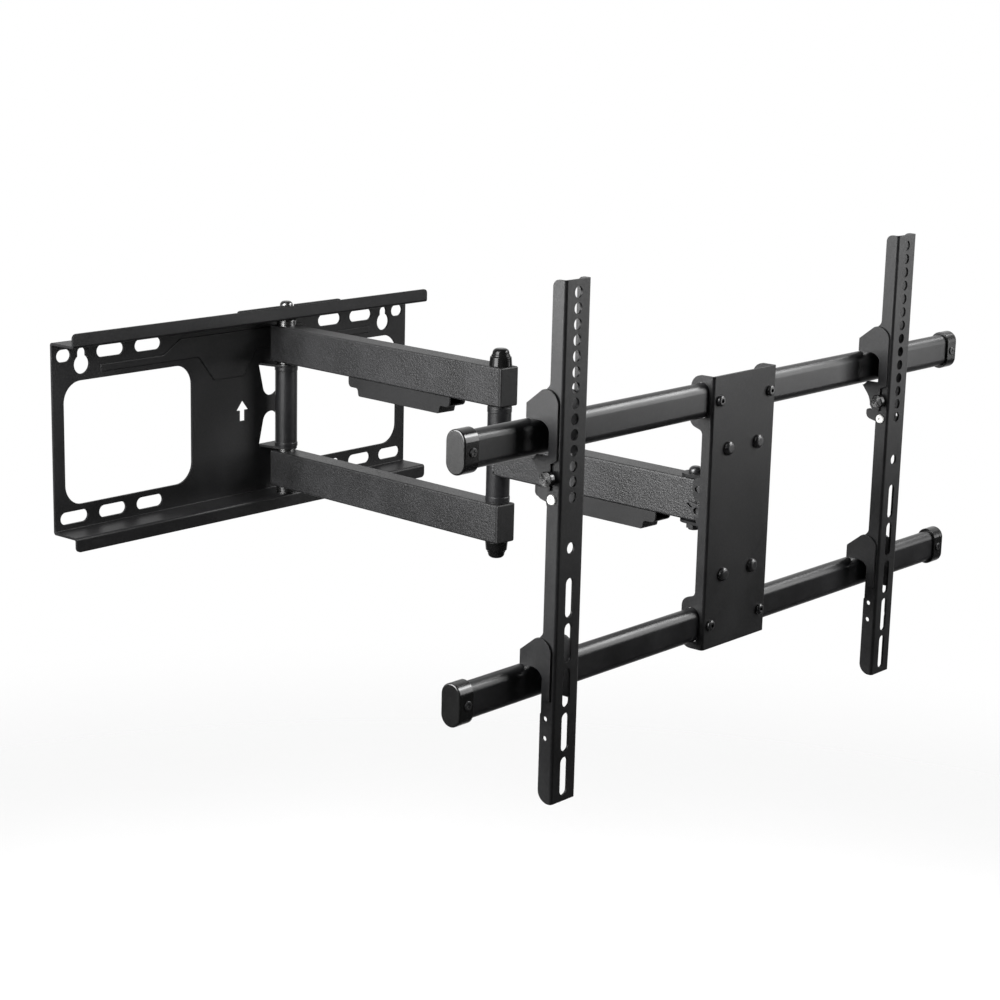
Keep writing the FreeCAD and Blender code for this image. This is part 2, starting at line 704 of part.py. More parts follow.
def tilt_bracket():
    """The bracket behind the head plate, whose two ears hang on the tilt bolt."""
    body = new_body("tilt_bracket", "tilt")
    front, thick = mm("face_front") - mm("sheet_thick"), mm("swivel_plate")
    inner = mm("lug_half") + 0.3
    plate = new_sketch(body, "XZ_Plane", str(front - thick))
    box_outline(plate, -inner - thick, -72, inner + thick, 72, 8)
    pad(body, plate, "Sizes.swivel_plate")
    for side in (-1, 1):
        ear = new_sketch(body, "YZ_Plane", str(side * inner))
        outline(ear, [
            (-front, 38), (-6, 30, 8), (11, 28, 6), (11, 13, 4), (6.5, 4, 4), (6.5, -12, 6), (-4, -27, 8),
            (-front, -36),
        ])
        pad(body, ear, "Sizes.swivel_plate", back=side < 0)
    holes = new_sketch(body, "YZ_Plane")
    ring(holes, 0, 0, mm("tilt_bolt_radius") + 0.2)
    pocket(body, holes, "4 * Sizes.lug_half")
    curved = new_sketch(body, "YZ_Plane")
    guide_slot(curved, mm("guide_circle"), mm("guide_radius") + 0.3, -18, 8)
    pocket(body, curved, "4 * Sizes.lug_half")
    bolts = new_sketch(body, "XZ_Plane", str(front))
    for across in (-mm("head_bolt_across"), mm("head_bolt_across")):
        for up in (-mm("head_bolt_up"), mm("head_bolt_up")):
            ring(bolts, across, up, 4.3)
    pocket(body, bolts, "3 * Sizes.swivel_plate")


def guide_slot(sketch, circle, radius, first, last):
    """A slot curved about the tilt bolt, from one lean to another, in degrees forward of upright."""

    def at(lean, distance):
        turn = math.radians(lean)
        return FreeCAD.Vector(-distance * math.sin(turn), distance * math.cos(turn), 0)

    middle = (first + last) / 2
    over = math.degrees(radius / circle)
    inside, outside = circle - radius, circle + radius
    sketch.addGeometry(Part.Arc(at(first, outside), at(middle, outside), at(last, outside)), False)
    sketch.addGeometry(Part.Arc(at(last, outside), at(last + over, circle), at(last, inside)), False)
    sketch.addGeometry(Part.Arc(at(last, inside), at(middle, inside), at(first, inside)), False)
    sketch.addGeometry(Part.Arc(at(first, inside), at(first - over, circle), at(first, outside)), False)


def tilt_bolt():
    """The cross bolt that the head tilts on, with a round head on one side."""
    body = new_body("tilt_bolt", "tilt")
    ear = mm("lug_half") + 0.3 + mm("swivel_plate")
    shank = new_sketch(body, "YZ_Plane", str(-ear - 5))
    ring(shank, 0, 0, mm("tilt_bolt_radius"), "Sizes.tilt_bolt_radius")
    pad(body, shank, str(2 * ear + 5))
    head = new_sketch(body, "YZ_Plane", str(ear))
    ring(head, 0, 0, 7)
    pad(body, head, "4.5")
    soften(body, 2.5, lambda edge, middle, along: abs(middle.x - ear - 4.5) < 0.01)


def tilt_washer():
    """The friction washer between the swivel yoke's ear and the clamp lever."""
    body = new_body("tilt_washer", "tilt")
    ear = mm("lug_half") + 0.3 + mm("swivel_plate")
    washer = new_sketch(body, "YZ_Plane", str(-ear - 1.2))
    ring(washer, 0, 0, 8)
    ring(washer, 0, 0, mm("tilt_bolt_radius") + 0.1)
    pad(body, washer, "1.2")


def tilt_lever():
    """The two-winged lever that clamps the tilt: a round hub and two flat slotted wings."""
    body = new_body("tilt_lever", "tilt")
    ear = mm("lug_half") + 0.3 + mm("swivel_plate") + 1.4
    hub = new_sketch(body, "YZ_Plane", str(-ear))
    ring(hub, 0, 0, 5.6)
    pad(body, hub, "7", back=True)
    wings = new_sketch(body, "YZ_Plane", str(-ear - 2.2))
    lean = math.radians(-24)
    along = FreeCAD.Vector(math.cos(lean), -math.sin(lean), 0)
    aside = FreeCAD.Vector(-along.y, along.x, 0)

    def corner(out, wide, radius):
        point = along * out + aside * wide
        return (point.x, point.y, radius)

    outline(wings, [
        corner(-14.6, -1.6, 1.5), corner(-4, -4.4, 1), corner(4, -4.4, 1), corner(14.6, -1.6, 1.5),
        corner(14.6, 1.6, 1.5), corner(4, 4.4, 1), corner(-4, 4.4, 1), corner(-14.6, 1.6, 1.5),
    ])
    pad(body, wings, "3", back=True)
    slits = new_sketch(body, "YZ_Plane", str(-ear - 3))
    for side in (-1, 1):
        outline(slits, [
            corner(side * 13, -0.5, 0.3), corner(side * 7, -1.8, 0.3), corner(side * 7, 1.8, 0.3),
            corner(side * 13, 0.5, 0.3),
        ])
    pocket(body, slits, "8")
    bore = new_sketch(body, "YZ_Plane", str(-ear))
    ring(bore, 0, 0, mm("tilt_bolt_radius") + mm("run_gap"))
    pocket(body, bore, "4", symmetric=False)
    socket = new_sketch(body, "YZ_Plane", str(-ear - 7))
    ring(socket, 0, 0, 3.4)
    pocket(body, socket, "2.4", symmetric=False, back=True)


def side_outline(sketch):
    """The head plate's side flange: shallow in the middle, with a deep rounded lobe around each rail."""
    front, back, shallow = -mm("face_front"), mm("lobe_back"), mm("side_back")
    top = mm("face_height") / 2
    foot = top - mm("lobe_length")
    half = [
        (front, top), (back, top, 11), (back, foot, 9), (shallow, foot - 4.5, 5),
    ]
    lower = [(corner[0], -corner[1], *corner[2:]) for corner in reversed(half)]
    outline(sketch, half + lower)


def centre_plate():
    """The head plate in front, folded back at both sides around the two rails."""
    body = new_body("centre_plate", "tilt")
    half, high = mm("face_width") / 2, mm("face_height") / 2
    thick = mm("sheet_thick")
    front = mm("face_front")
    face = new_sketch(body, "XZ_Plane", "Sizes.face_front - Sizes.sheet_thick")
    box_outline(face, -half, -high, half, high)
    pad(body, face, "Sizes.sheet_thick")
    for side in (-1, 1):
        flange = new_sketch(body, "YZ_Plane", str(side * half))
        side_outline(flange)
        pad(body, flange, "Sizes.sheet_thick", back=side > 0)
    soften(body, 3, lambda edge, middle, along: abs(along.z) > 0.99 and abs(middle.y + front) < 0.01
           and abs(abs(middle.x) - half) < 0.01)
    rails = new_sketch(body, "YZ_Plane")
    for side in (-1, 1):
        slot(rails, -mm("rail_behind"), side * mm("rail_height"), mm("rail_tall") + 0.6,
             mm("rail_deep") + 0.6, upright=True)
    pocket(body, rails, "2 * Sizes.face_width")
    bolts = new_sketch(body, "XZ_Plane", "Sizes.face_front")
    for across in (-1, 1):
        for up in (-1, 1):
            ring(bolts, across * mm("head_bolt_across"), up * mm("head_bolt_up"), 4.3)
            ring(bolts, across * mm("rail_screw_across"), up * mm("rail_height"), 3.2)
    pocket(body, bolts, "3 * Sizes.sheet_thick")


def head_bolts():
    """Four domed bolts that join the head plate to the tilt bracket."""
    body = new_body("head_bolts", "tilt")
    front = mm("face_front")
    places = [(side * mm("head_bolt_across"), up * mm("head_bolt_up")) for side in (-1, 1) for up in (-1, 1)]
    shanks = new_sketch(body, "XZ_Plane", "Sizes.face_front")
    heads = new_sketch(body, "XZ_Plane", "Sizes.face_front")
    for across, up in places:
        ring(shanks, across, up, 4)
        ring(heads, across, up, 6.6)
    pad(body, shanks, "14", back=True)
    pad(body, heads, "4")
    soften(body, 3.4, lambda edge, middle, along: abs(middle.y + front + 4) < 0.01)


def head_nuts():
    """The nuts behind the tilt bracket."""
    body = new_body("head_nuts", "tilt")
    seat = mm("face_front") - mm("sheet_thick") - mm("swivel_plate")
    flats = new_sketch(body, "XZ_Plane", str(seat))
    for side in (-1, 1):
        for up in (-1, 1):
            hexagon(flats, side * mm("head_bolt_across"), up * mm("head_bolt_up"), 13, 4)
    pad(body, flats, "6", back=True)


def rail_screws():
    """Four small socket screws through the head plate into the rails."""
    body = new_body("rail_screws", "tilt")
    front = mm("face_front")
    shanks = new_sketch(body, "XZ_Plane", "Sizes.face_front")
    heads = new_sketch(body, "XZ_Plane", "Sizes.face_front")
    sockets = new_sketch(body, "XZ_Plane", "Sizes.face_front + 3.4")
    for side in (-1, 1):
        for up in (-1, 1):
            across, height = side * mm("rail_screw_across"), up * mm("rail_height")
            ring(shanks, across, height, 3)
            ring(heads, across, height, 5)
            outline(sockets, [
                (across + 2 * math.cos(math.radians(60 * step)), height + 2 * math.sin(math.radians(60 * step)))
                for step in range(6)
            ])
    pad(body, shanks, "10", back=True)
    pad(body, heads, "3.4")
    soften(body, 2, lambda edge, middle, along: abs(middle.y + front + 3.4) < 0.01)
    pocket(body, sockets, "4")


def rail(label, side):
    """A flat-sided oval tube across the head."""
    body = new_body(label, "rails")
    section = new_sketch(body, "YZ_Plane")
    tall, deep, wall = mm("rail_tall"), mm("rail_deep"), mm("rail_wall")
    up = side * mm("rail_height")
    slot(section, -mm("rail_behind"), up, tall, deep, upright=True)
    slot(section, -mm("rail_behind"), up, tall - 2 * wall, deep - 2 * wall, upright=True)
    pad(body, section, "Sizes.rail_length", symmetric=True)
    screws = new_sketch(body, "XZ_Plane", str(mm("rail_behind") + deep / 2))
    for across in (-mm("rail_screw_across"), mm("rail_screw_across")):
        ring(screws, across - mm("rail_shift"), up, 3)
    pocket(body, screws, "2 * Sizes.rail_wall + 2")


def rail_caps():
    """Plastic caps over the four rail ends, with a bevelled rim and a screw hole in front."""
    body = new_body("rail_caps", "rails")
    tall, deep = mm("cap_tall"), mm("cap_deep")
    behind = mm("rail_behind")
    end = mm("rail_length") / 2 + mm("cap_end")
    for side in (-1, 1):
        block = new_sketch(body, "YZ_Plane", str(side * end))
        hollow = new_sketch(body, "YZ_Plane", str(side * (end - mm("cap_end"))))
        for up in (-1, 1):
            slot(block, -behind, up * mm("rail_height"), tall, deep, upright=True)
            slot(hollow, -behind, up * mm("rail_height"), mm("rail_tall") + 0.4, mm("rail_deep") + 0.4, upright=True)
        pad(body, block, "Sizes.cap_long", back=side > 0)
        pocket(body, hollow, "Sizes.cap_long", symmetric=False, back=side < 0)
    soften(body, 1.4, lambda edge, middle, along: abs(abs(middle.x) - end) < 0.01)
    screws = new_sketch(body, "XZ_Plane", str(behind + deep / 2))
    for side in (-1, 1):
        for up in (-1, 1):
            ring(screws, side * (end - mm("cap_screw_in")), up * mm("rail_height"), 2.2)
    pocket(body, screws, "8")


def cap_screws():
    """Flat-headed screws in the front of each rail cap."""
    body = new_body("cap_screws", "rails")
    end = mm("rail_length") / 2 + mm("cap_end")
    front = mm("rail_behind") + mm("cap_deep") / 2
    heads = new_sketch(body, "XZ_Plane", str(front + 0.1))
    shanks = new_sketch(body, "XZ_Plane", str(front + 0.1))
    for side in (-1, 1):
        for up in (-1, 1):
            place = (side * (end - mm("cap_screw_in")), up * mm("rail_height"))
            ring(heads, place[0], place[1], 3.9)
            ring(shanks, place[0], place[1], 2)
    pad(body, heads, "1.2")
    pad(body, shanks, "2.2", back=True)
    soften(body, 0.6, lambda edge, middle, along: abs(middle.y + front + 1.3) < 0.01)
    crosses = new_sketch(body, "XZ_Plane", str(front + 1.3))
    for side in (-1, 1):
        for up in (-1, 1):
            across, height = side * (end - mm("cap_screw_in")), up * mm("rail_height")
            arm, wide = 2.2, 0.5
            outline(crosses, [
                (across - arm, height - wide), (across - wide, height - wide), (across - wide, height - arm),
                (across + wide, height - arm), (across + wide, height - wide), (across + arm, height - wide),
                (across + arm, height + wide), (across + wide, height + wide), (across + wide, height + arm),
                (across - wide, height + arm), (across - wide, height + wide), (across - arm, height + wide),
            ])
    pocket(body, crosses, "0.9", symmetric=False)


# ---------------------------------------------------------------- the uprights that hold the television


def upright(label, stage):
    """A long channel with round holes in its upper half and slots below, for the television's bolts."""
    body = new_body(label, stage)
    half, thick = mm("upright_width") / 2, mm("upright_thick")
    deep, foot = mm("upright_depth"), mm("foot_depth")
    top, base = mm("upright_top"), mm("upright_base")
    section = new_sketch(body, "XY_Plane", "Sizes.upright_base")
    outline(section, [
        (-half, 0, 3), (half, 0, 3), (half, foot), (half - thick, foot), (half - thick, thick, 1),
        (thick - half, thick, 1), (thick - half, foot), (-half, foot),
    ])
    pad(body, section, "Sizes.upright_top - Sizes.upright_base")
    trim = new_sketch(body, "YZ_Plane")
    outline(trim, [
        (deep, mm("foot_top"), 1), (foot + 1, mm("foot_top") - 2.5), (foot + 1, top + 1), (deep, top + 1),
    ])
    pocket(body, trim, "2 * Sizes.upright_width")
    shallow = new_sketch(body, "YZ_Plane", str(half))
    outline(shallow, [
        (mm("shallow_depth"), base - 1), (foot + 1, base - 1), (foot + 1, mm("shallow_top") + 6),
        (mm("shallow_depth"), mm("shallow_top"), 3),
    ])
    pocket(body, shallow, "Sizes.upright_thick + 1", symmetric=False)
    soften(body, 6, lambda edge, middle, along: abs(along.x) > 0.9 and middle.y > deep - 0.5
           and middle.z > top - 1)
    soften(body, 11, lambda edge, middle, along: abs(along.x) > 0.9 and middle.y > deep - 0.5
           and middle.z < base + 1)
    face = new_sketch(body, "XZ_Plane")
    for step in range(14):
        ring(face, 0, mm("first_hole") - step * mm("hole_pitch"), mm("hole_radius"), "Sizes.hole_radius")
    ring(face, 0, 14.5, mm("hole_radius"), "Sizes.hole_radius")
    for step in range(5):
        slot(face, 0, mm("tv_slot_first") - step * mm("tv_slot_pitch"), mm("tv_slot_length"),
             2 * mm("tv_slot_radius"), upright=True)
    pocket(body, face, "5")
    sides = new_sketch(body, "YZ_Plane")
    ring(sides, 9, -131.7, 2.3)
    ring(sides, 9, -148.9, 2.3)
    ring(sides, mm("lock_depth"), mm("lock_height"), 2.6)
    ring(sides, mm("lock_depth"), mm("bead_height"), 2.1)
    pocket(body, sides, "2 * Sizes.upright_width")
    flares = new_sketch(body, "YZ_Plane", str(-half))
    for side in (-1, 1):
        up = side * mm("rail_height")
        outline(flares, [(deep - 0.5, up + 50), (deep, up + 50), (deep, up + 46, 6), (deep + 8, up + 38),
                         (deep + 8, up + 24), (deep - 0.5, up + 24)])
    pad(body, flares, "Sizes.upright_thick")


def hook_mouth(sketch, height):
    """The mouth that the rail enters from behind, well clear of it in front and rounded over its top."""
    front = mm("hook_front") + mm("hook_strip")
    half = mm("rail_tall") / 2 + mm("hook_gap")
    outline(sketch, [
        (front, height - 12.3, 3), (front + 13, height - 12.3), (front + 17, height - half),
        (front + 60, height - half), (front + 60, height + half), (front, height + half, 11),
    ])


def outer_hook(label, stage, height, tail):
    """The hook plate on the outside of the channel: a gabled top over the rail and, on the upper one,
    a rounded tail below it that the lock screw passes."""
    body = new_body(label, stage)
    place = mm("upright_width") / 2
    front = mm("hook_front")
    sketch = new_sketch(body, "YZ_Plane", str(-place))
    top = [(front, height + 42.5, 12), (19, height + 42.5, 6), (36, height + 29)]
    if tail:
        foot = [
            (36, height - 16), (29.5, height - 16), (19.5, height - 29, 20), (19.5, height - 41, 8),
            (9, height - 41, 2), (9, height - 18), (front, height - 15),
        ]
    else:
        foot = [(36, height + 10), (14, height + 10), (14, height - 10), (front, height - 10)]
    outline(sketch, top + foot)
    pad(body, sketch, "Sizes.hook_thick", back=True)
    mouth = new_sketch(body, "YZ_Plane", str(-place))
    hook_mouth(mouth, height)
    pocket(body, mouth, "4 * Sizes.hook_thick")
    if tail:
        hole = new_sketch(body, "YZ_Plane", str(-place))
        ring(hole, mm("lock_depth"), mm("lock_height"), 2.6)
        pocket(body, hole, "4 * Sizes.hook_thick")


def inner_hook(label, stage, height):
    """The hook plate inside the channel, which reaches over the rail and down behind it."""
    body = new_body(label, stage)
    place = mm("upright_width") / 2 - mm("upright_thick")
    sketch = new_sketch(body, "YZ_Plane", str(place))
    outline(sketch, [
        (3, height - 14), (3, height + 33, 8), (15, height + 40, 7), (42, height + 27, 8),
        (49, height + 14, 6), (49, height - 8, 2), (44, height - 8, 2), (44, height, 0.5), (30, height),
        (30, height - 14),
    ])
    pad(body, sketch, "Sizes.hook_thick", back=True)
    seat = new_sketch(body, "YZ_Plane", str(place))
    gap = mm("hook_gap")
    slot(seat, mm("upright_front") - mm("tilt_out") - mm("rail_behind"), height, mm("rail_tall") + 2 * gap,
         mm("rail_deep") + 2 * gap, upright=True)
    pocket(body, seat, "4 * Sizes.hook_thick")


def lock_nut(label, stage):
    """The thin nut between the lock knob and the hook plate."""
    body = new_body(label, stage)
    face = mm("upright_width") / 2 + mm("hook_thick")
    flats = new_sketch(body, "YZ_Plane", str(-face))
    hexagon(flats, mm("lock_depth"), mm("lock_height"), 8, 2.55)
    pad(body, flats, "2.4", back=True)


def lock_knob(label, stage):
    """The thumb screw that locks the upright on its rail."""
    body = new_body(label, stage)
    face = mm("upright_width") / 2 + mm("hook_thick") + 2.6
    disc = new_sketch(body, "YZ_Plane", str(-face))
    ring(disc, mm("lock_depth"), mm("lock_height"), mm("knob_radius"), "Sizes.knob_radius")
    pad(body, disc, "5", back=True)
    soften(body, 0.8, lambda edge, middle, along: abs(middle.x + face + 5) < 0.01)
    shank = new_sketch(body, "YZ_Plane", str(-face))
    ring(shank, mm("lock_depth"), mm("lock_height"), 2.5)
    pad(body, shank, "11")


def lock_tongue(label, stage):
    """The plastic tongue inside the channel, held by the bead's stem, that reaches back below the rail."""
    body = new_body(label, stage)
    place = mm("upright_width") / 2 - mm("upright_thick")
    up = mm("bead_height")
    blade = new_sketch(body, "YZ_Plane", str(-place))
    outline(blade, [(5, up - 3.5, 1), (5, up + 5, 1), (25.8, up + 8, 2), (25.8, up - 1, 6), (16, up - 3.5, 3)])
    ring(blade, mm("lock_depth"), up, 2.1)
    pad(body, blade, "4")


def stop_bead(label, stage):
    """The white plastic bead on the side of the channel."""
    body = new_body(label, stage)
    face = mm("upright_width") / 2
    bead = new_sketch(body, "YZ_Plane", str(-face))
    ring(bead, mm("lock_depth"), mm("bead_height"), 4.2)
    pad(body, bead, "2.4", back=True)
    soften(body, 1.2, lambda edge, middle, along: abs(middle.x + face + 2.4) < 0.01)
    stem = new_sketch(body, "YZ_Plane", str(-face))
    ring(stem, mm("lock_depth"), mm("bead_height"), 2)
    pad(body, stem, "3.2")
    dimple = new_sketch(body, "YZ_Plane", str(-face - 2.4))
    ring(dimple, mm("lock_depth"), mm("bead_height"), 1.0)
    pocket(body, dimple, "1.4", symmetric=False, back=True)


def build():
    """Every piece of the mount, from the wall outwards."""
    base = mm("arm_base")
    wall_plate()
    pivot_brace("top_brace", 1)
    pivot_brace("bottom_brace", -1)
    wall_pivot_bolt()
    wall_pivot_nut()
    wall_pivot_sleeve()
    wall_pivot_shims()
    main_arm_tube("upper_arm_tube", base)
    main_arm_tube("lower_arm_tube", -base - mm("arm_height"))
    pair = [base, -base - mm("arm_height")]
    end_plugs("wall_end_plugs", "arm", pair, -1)
    end_plugs("elbow_end_plugs", "elbow", pair, 1)
    arm_bushes()
    elbow_bolt()
    elbow_nut()
    elbow_caps()
    cable_clip("arm_cable_clip", "arm", base, mm("upper_clip_start"))
    elbow_tube()
    elbow_bushes()
    forearm_tube()
    end_plugs("forearm_end_plug", "wrist", [-mm("arm_height") / 2], 1)
    wrist_bush()
    cable_clip("forearm_cable_clip", "forearm", -mm("arm_height") / 2, mm("forearm_clip_start"))
    swivel_bracket()
    swivel_bolt()
    swivel_nut()
    guide_screws()
    tilt_bracket()
    tilt_bolt()
    tilt_washer()
    tilt_lever()
    centre_plate()
    head_bolts()
    head_nuts()
    rail_screws()
    rail("upper_rail", 1)
    rail("lower_rail", -1)
    rail_caps()
    cap_screws()
    for stage in ("left", "right"):
        upright(f"{stage}_upright", stage)
        outer_hook(f"{stage}_upper_hook", stage, mm("rail_height"), True)
        outer_hook(f"{stage}_lower_hook", stage, -mm("rail_height"), False)
        inner_hook(f"{stage}_upper_catch", stage, mm("rail_height"))
        inner_hook(f"{stage}_lower_catch", stage, -mm("rail_height"))
        lock_nut(f"{stage}_lock_nut", stage)
        lock_knob(f"{stage}_lock_knob", stage)
        lock_tongue(f"{stage}_lock_tongue", stage)
        stop_bead(f"{stage}_stop_bead", stage)


def save():
    """Checks every piece, then writes one STEP file for each."""
    doc.recompute()
    for item in doc.Objects:
        if "Invalid" in item.State or "Error" in item.State:
            raise ValueError(f"{item.Name} did not build: {item.State}")
    os.makedirs("parts", exist_ok=True)
    for node in NODES:
        if node.Shape.isNull() or not node.Shape.isValid() or not node.Shape.Solids:
            raise ValueError(f"{node.Label} has no valid solid")
        node.Shape.exportStep(f"parts/{node.Label}.step")
        print(node.Label, len(node.Shape.Solids), round(node.Shape.Volume))


build()
save()
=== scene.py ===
import bpy
import json
import math
from mathutils import Matrix, Vector


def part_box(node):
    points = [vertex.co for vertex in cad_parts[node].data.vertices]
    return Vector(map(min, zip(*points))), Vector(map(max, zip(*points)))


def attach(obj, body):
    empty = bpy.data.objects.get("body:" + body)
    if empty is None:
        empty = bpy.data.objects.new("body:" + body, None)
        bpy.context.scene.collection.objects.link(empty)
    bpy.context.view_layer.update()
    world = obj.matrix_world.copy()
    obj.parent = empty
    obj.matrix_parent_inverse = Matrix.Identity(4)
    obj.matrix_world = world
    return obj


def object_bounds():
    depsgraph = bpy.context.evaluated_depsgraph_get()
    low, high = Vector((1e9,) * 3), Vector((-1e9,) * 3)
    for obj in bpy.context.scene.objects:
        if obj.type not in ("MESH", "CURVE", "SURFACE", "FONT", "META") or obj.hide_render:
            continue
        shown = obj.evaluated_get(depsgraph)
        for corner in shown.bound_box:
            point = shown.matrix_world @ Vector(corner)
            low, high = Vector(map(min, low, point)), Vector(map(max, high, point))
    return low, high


# A full motion television wall mount in black painted steel, on a plain pale floor in soft studio
# light. Metres. X runs along the wall, +Y goes into the wall and +Z is up.

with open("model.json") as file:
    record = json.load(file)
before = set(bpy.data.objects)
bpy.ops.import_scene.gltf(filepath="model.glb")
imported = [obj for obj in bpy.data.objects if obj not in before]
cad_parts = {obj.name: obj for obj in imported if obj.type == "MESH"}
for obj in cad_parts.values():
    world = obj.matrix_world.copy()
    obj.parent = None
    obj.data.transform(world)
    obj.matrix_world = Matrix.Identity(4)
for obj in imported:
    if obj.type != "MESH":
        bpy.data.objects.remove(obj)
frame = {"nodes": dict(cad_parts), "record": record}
cad_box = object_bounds()
NODES = frame["nodes"]
SCENE = bpy.context.scene

MM = 0.001

# the camera: its place, then in degrees its turn from +Y toward +X, its rise and its roll,
# then its lens and sensor in millimetres
CAMERA_PLACE = (-1.6618, -1.7914, 0.4676)
CAMERA_YAW = 49.6
CAMERA_PITCH = -13.11
CAMERA_ROLL = 1.4
LENS_LENGTH = 80.83
SENSOR_WIDTH = 36

# the floor: how far it lies below the mount, and its radius
FLOOR_DROP = 0.75
FLOOR_RADIUS = 2.6

# what the lights aim at: the head, a spot up to the left of the arm, and one in front of the wall plate
HEAD = Vector((0.02, -0.62, 0.1))
LEFT_OF_ARM = Vector((-0.2, -0.5, 0.3))
BEFORE_PLATE = Vector((0.0, -0.2, 0.05))

# the welds: how many ripples one has, how far it stops short of the tube's edges, how deep it sits in
# the elbow tube, and how far before that tube's axis it runs
WELD_RIPPLES = 13
WELD_INSET = 2 * MM
WELD_SINK = 0.1 * MM
WELD_FORWARD = 3.5 * MM


# ---------------------------------------------------------------- camera and studio


def place_camera():
    """A long lens a little above the mount, at its front left."""
    yaw = math.radians(CAMERA_YAW)
    pitch = math.radians(CAMERA_PITCH)
    roll = math.radians(CAMERA_ROLL)
    ahead = Vector((math.sin(yaw) * math.cos(pitch), math.cos(yaw) * math.cos(pitch), math.sin(pitch)))
    level_right = Vector((math.cos(yaw), -math.sin(yaw), 0))
    level_up = level_right.cross(ahead)
    right = level_right * math.cos(roll) + level_up * math.sin(roll)
    up = level_up * math.cos(roll) - level_right * math.sin(roll)
    data = bpy.data.cameras.new("camera")
    data.lens = LENS_LENGTH
    data.sensor_width = SENSOR_WIDTH
    camera = bpy.data.objects.new("camera", data)
    axes = Matrix((right, up, -ahead)).transposed()
    camera.matrix_world = Matrix.Translation(CAMERA_PLACE) @ axes.to_4x4()
    SCENE.collection.objects.link(camera)
    SCENE.camera = camera


def node(tree, kind, settings=None, **sockets):
    """A shader node with its settings, and each named socket either linked or given a value."""
    made = tree.nodes.new("ShaderNode" + kind)
    for name, value in (settings or {}).items():
        setattr(made, name, value)
    for name, value in sockets.items():
        socket = made.inputs[name.replace("_", " ")]
        if isinstance(value, bpy.types.NodeSocket):
            tree.links.new(value, socket)
        else:
            socket.default_value = value
    return made


def added(tree, one, other):
    """The sum of two values."""
    total = node(tree, "Math", {"operation": "ADD"})
    tree.links.new(one, total.inputs[0])
    tree.links.new(other, total.inputs[1])
    return total.outputs["Value"]


def centred_on(tree, spot):
    """Object coordinates counted from a spot."""
    coords = node(tree, "TexCoord")
    centred = node(tree, "VectorMath", {"operation": "SUBTRACT"})
    tree.links.new(coords.outputs["Object"], centred.inputs[0])
    centred.inputs[1].default_value = spot
    return centred.outputs["Vector"]


def softbox(name, place, aim, width, height, power):
    """A rectangular area light that points at a spot."""
    data = bpy.data.lights.new(name, "AREA")
    data.shape = "RECTANGLE"
    data.size = width
    data.size_y = height
    data.energy = power
    light = bpy.data.objects.new(name, data)
    light.location = place
    light.rotation_mode = "QUATERNION"
    light.rotation_quaternion = (Vector(aim) - Vector(place)).to_track_quat("-Z", "Y")
    light.visible_camera = False
    SCENE.collection.objects.link(light)


def studio_sky():
    """A white background, and for all but the eye a dim room that is lighter behind and to the right."""
    world = bpy.data.worlds.new("studio")
    world.use_nodes = True
    tree = world.node_tree
    tree.nodes.clear()
    coords = node(tree, "TexCoord")
    lean = node(tree, "VectorMath", {"operation": "DOT_PRODUCT"})
    tree.links.new(coords.outputs["Generated"], lean.inputs[0])
    lean.inputs[1].default_value = Vector((0.72, 0.66, 0.2)).normalized()
    room = node(tree, "MapRange", {"interpolation_type": "SMOOTHSTEP"}, Value=lean.outputs["Value"],
                From_Min=0.3, From_Max=0.95, To_Min=0.03, To_Max=0.9)
    seen = node(tree, "LightPath")
    strength = node(tree, "Mix", {"data_type": "FLOAT"}, A=room.outputs["Result"], B=1.0)
    tree.links.new(seen.outputs["Is Camera Ray"], strength.inputs["Factor"])
    light = node(tree, "Background", Color=(1, 1, 1, 1), Strength=strength.outputs["Result"])
    node(tree, "OutputWorld", Surface=light.outputs["Background"])
    SCENE.world = world


def disc(name, middle, radius, rings, turns):
    """A flat round mesh of rings about a middle."""
    points = [tuple(middle)]
    for ring in range(1, rings + 1):
        for turn in range(turns):
            angle = math.tau * turn / turns
            out = radius * ring / rings
            points.append((middle.x + out * math.cos(angle), middle.y + out * math.sin(angle), middle.z))
    faces = []
    for turn in range(turns):
        after = (turn + 1) % turns
        faces.append((0, 1 + turn, 1 + after))
        for ring in range(rings - 1):
            inner = 1 + ring * turns
            outer = inner + turns
            faces.append((inner + turn, outer + turn, outer + after, inner + after))
    mesh = bpy.data.meshes.new(name)
    mesh.from_pydata(points, [], faces)
    return mesh


def floor_paint(middle):
    """A pale mottled floor that is clear at its rim."""
    made = bpy.data.materials.new("floor")
    made.use_nodes = True
    tree = made.node_tree
    tree.nodes.clear()
    far = node(tree, "VectorMath", {"operation": "LENGTH"})
    tree.links.new(centred_on(tree, middle), far.inputs[0])
    fade = node(tree, "MapRange", {"interpolation_type": "SMOOTHSTEP"}, Value=far.outputs["Value"],
                From_Min=0.35 * FLOOR_RADIUS, From_Max=0.98 * FLOOR_RADIUS)
    coords = node(tree, "TexCoord")
    mottle = node(tree, "TexNoise", Vector=coords.outputs["Object"], Scale=3.0, Detail=3.0)
    tone = node(tree, "MapRange", Value=mottle.outputs["Fac"], To_Min=0.86, To_Max=0.9)
    matt = node(tree, "BsdfDiffuse", Color=tone.outputs["Result"])
    glow = node(tree, "Emission", Color=(1, 1, 1, 1), Strength=0.3)
    pale = node(tree, "AddShader")
    tree.links.new(matt.outputs["BSDF"], pale.inputs[0])
    tree.links.new(glow.outputs["Emission"], pale.inputs[1])
    clear = node(tree, "BsdfTransparent")
    mixed = node(tree, "MixShader", Fac=fade.outputs["Result"])
    tree.links.new(pale.outputs["Shader"], mixed.inputs[1])
    tree.links.new(clear.outputs["BSDF"], mixed.inputs[2])
    node(tree, "OutputMaterial", Surface=mixed.outputs["Shader"])
    return made


